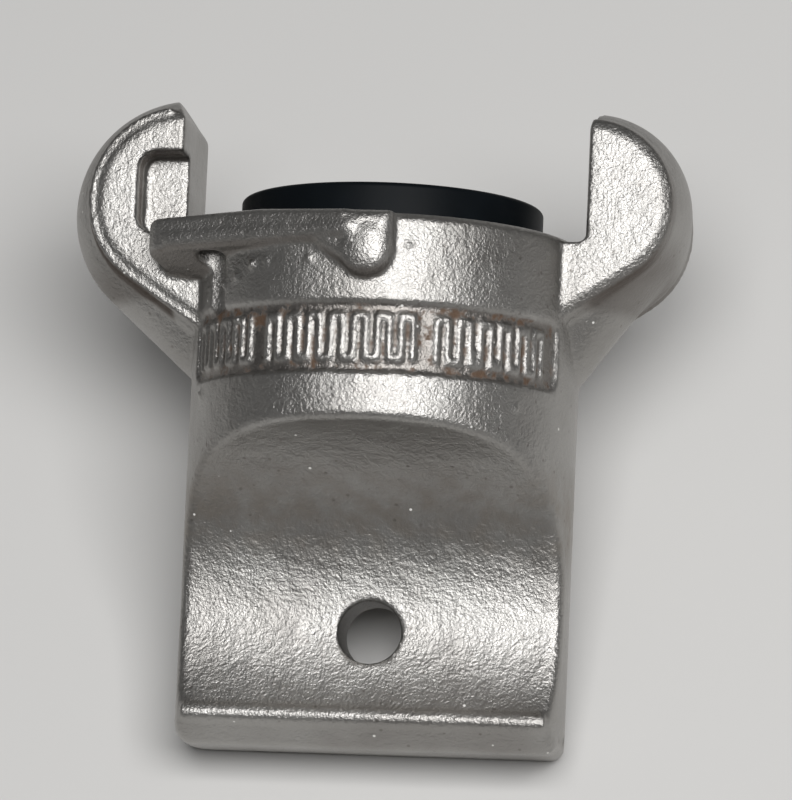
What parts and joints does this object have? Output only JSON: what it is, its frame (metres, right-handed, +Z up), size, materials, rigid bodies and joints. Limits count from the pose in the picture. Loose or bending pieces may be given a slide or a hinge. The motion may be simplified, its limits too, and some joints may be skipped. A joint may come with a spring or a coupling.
{
  "type": "blank end claw hose coupling",
  "caption": "Blank end of a twist-claw air hose coupling: round head with two hooked claws, cam ledges and a rubber ring gasket, running out into a scooped flat tab with a hole.",
  "frame": {"origin": "bottom centre of the bounding box, on the surface the coupling lies on", "axes": "+Y from the tail tab towards the claws, along the table, +Z up from the table, +X to the right of the tab's front, from claw to claw; the coupling's axis rises 24 degrees from +Y"},
  "size_m": [0.0694, 0.069, 0.0498],
  "materials": {
    "cast_stainless": "as-cast, fine pebbled, satin",
    "gasket_rubber": "moulded, semi-gloss"
  },
  "bodies": {
    "root": {"coupling_casting": "cast_stainless", "sealing_gasket": "gasket_rubber"}
  },
  "joints": []
}
